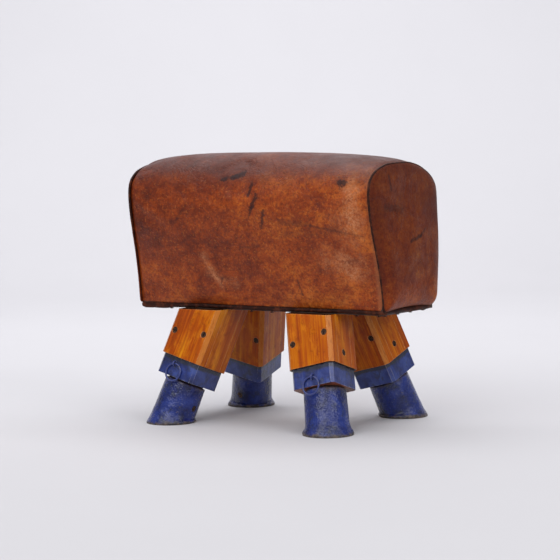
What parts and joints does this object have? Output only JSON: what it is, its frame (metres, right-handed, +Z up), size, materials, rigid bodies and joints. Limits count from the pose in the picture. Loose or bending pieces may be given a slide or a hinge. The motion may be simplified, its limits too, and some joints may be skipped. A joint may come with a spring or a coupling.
{
  "type": "pommel horse stool",
  "caption": "Low vintage gym horse: puffed leather body with welted end panels on splayed, sleeved wooden legs with flared iron feet and swinging rings.",
  "frame": {"origin": "on the floor under the middle of the body, midway between the four feet", "axes": "+X along the body to its right-hand end, -Y towards its front, +Z up"},
  "size_m": [0.557, 0.3486, 0.484],
  "materials": {
    "saddle_leather": "waxed cognac brown leather, mottled and polished by wear",
    "dark_leather": "near-black leather welt",
    "felt": "felt and horsehair wadding",
    "varnished_wood": "honey-orange varnished softwood with rubbed corners",
    "painted_wood": "ultramarine paint over wood, chipped at the edges",
    "painted_iron": "ultramarine paint over cast iron, worn dark at the rims",
    "painted_wire": "blue painted iron wire",
    "dark_steel": "old darkened steel with open slots",
    "frame_wood": "plain unvarnished pine"
  },
  "bodies": {
    "horse": {"back_left_block": "painted_wood", "back_left_foot": "painted_iron", "back_left_post": "painted_wood", "back_left_screws": "dark_steel", "back_left_sleeve_back": "varnished_wood", "back_left_sleeve_front": "varnished_wood", "back_left_sleeve_left": "varnished_wood", "back_left_sleeve_right": "varnished_wood", "back_left_staple": "painted_wire", "back_right_block": "painted_wood", "back_right_foot": "painted_iron", "back_right_post": "painted_wood", "back_right_screws": "dark_steel", "back_right_sleeve_back": "varnished_wood", "back_right_sleeve_front": "varnished_wood", "back_right_sleeve_left": "varnished_wood", "back_right_sleeve_right": "varnished_wood", "back_right_staple": "painted_wire", "base_board": "frame_wood", "body_padding": "felt", "bottom_edging": "dark_leather", "edging_tacks": "dark_steel", "end_padding_left": "felt", "end_padding_right": "felt", "end_panel_left": "saddle_leather", "end_panel_right": "saddle_leather", "frame_end_left": "frame_wood", "frame_end_right": "frame_wood", "frame_screws": "dark_steel", "frame_shoulder_back": "frame_wood", "frame_shoulder_front": "frame_wood", "frame_side_back": "frame_wood", "frame_side_front": "frame_wood", "frame_top": "frame_wood", "front_left_block": "painted_wood", "front_left_foot": "painted_iron", "front_left_post": "painted_wood", "front_left_screws": "dark_steel", "front_left_sleeve_back": "varnished_wood", "front_left_sleeve_front": "varnished_wood", "front_left_sleeve_left": "varnished_wood", "front_left_sleeve_right": "varnished_wood", "front_left_staple": "painted_wire", "front_right_block": "painted_wood", "front_right_foot": "painted_iron", "front_right_post": "painted_wood", "front_right_screws": "dark_steel", "front_right_sleeve_back": "varnished_wood", "front_right_sleeve_front": "varnished_wood", "front_right_sleeve_left": "varnished_wood", "front_right_sleeve_right": "varnished_wood", "front_right_staple": "painted_wire", "leather_cover": "saddle_leather", "leg_coach_screws": "dark_steel", "piping_left": "dark_leather", "piping_right": "dark_leather"},
    "front_left_ring": {"front_left_ring": "painted_wire"},
    "front_right_ring": {"front_right_ring": "painted_wire"},
    "back_left_ring": {"back_left_ring": "painted_wire"},
    "back_right_ring": {"back_right_ring": "painted_wire"}
  },
  "joints": [
    {"name": "front_left_ring_swing", "type": "hinge", "parent": "horse", "child": "front_left_ring", "pos_m": [-0.14914, -0.14141, 0.10882], "axis": [-1, 0, 0], "range_deg": [0, 150]},
    {"name": "front_right_ring_swing", "type": "hinge", "parent": "horse", "child": "front_right_ring", "pos_m": [0.14558, -0.14384, 0.10103], "axis": [-1, 0, 0], "range_deg": [0, 150]},
    {"name": "back_left_ring_swing", "type": "hinge", "parent": "horse", "child": "back_left_ring", "pos_m": [-0.14337, 0.14308, 0.10345], "axis": [1, 0, 0], "range_deg": [0, 150]},
    {"name": "back_right_ring_swing", "type": "hinge", "parent": "horse", "child": "back_right_ring", "pos_m": [0.14337, 0.14308, 0.10345], "axis": [1, 0, 0], "range_deg": [0, 150]}
  ]
}
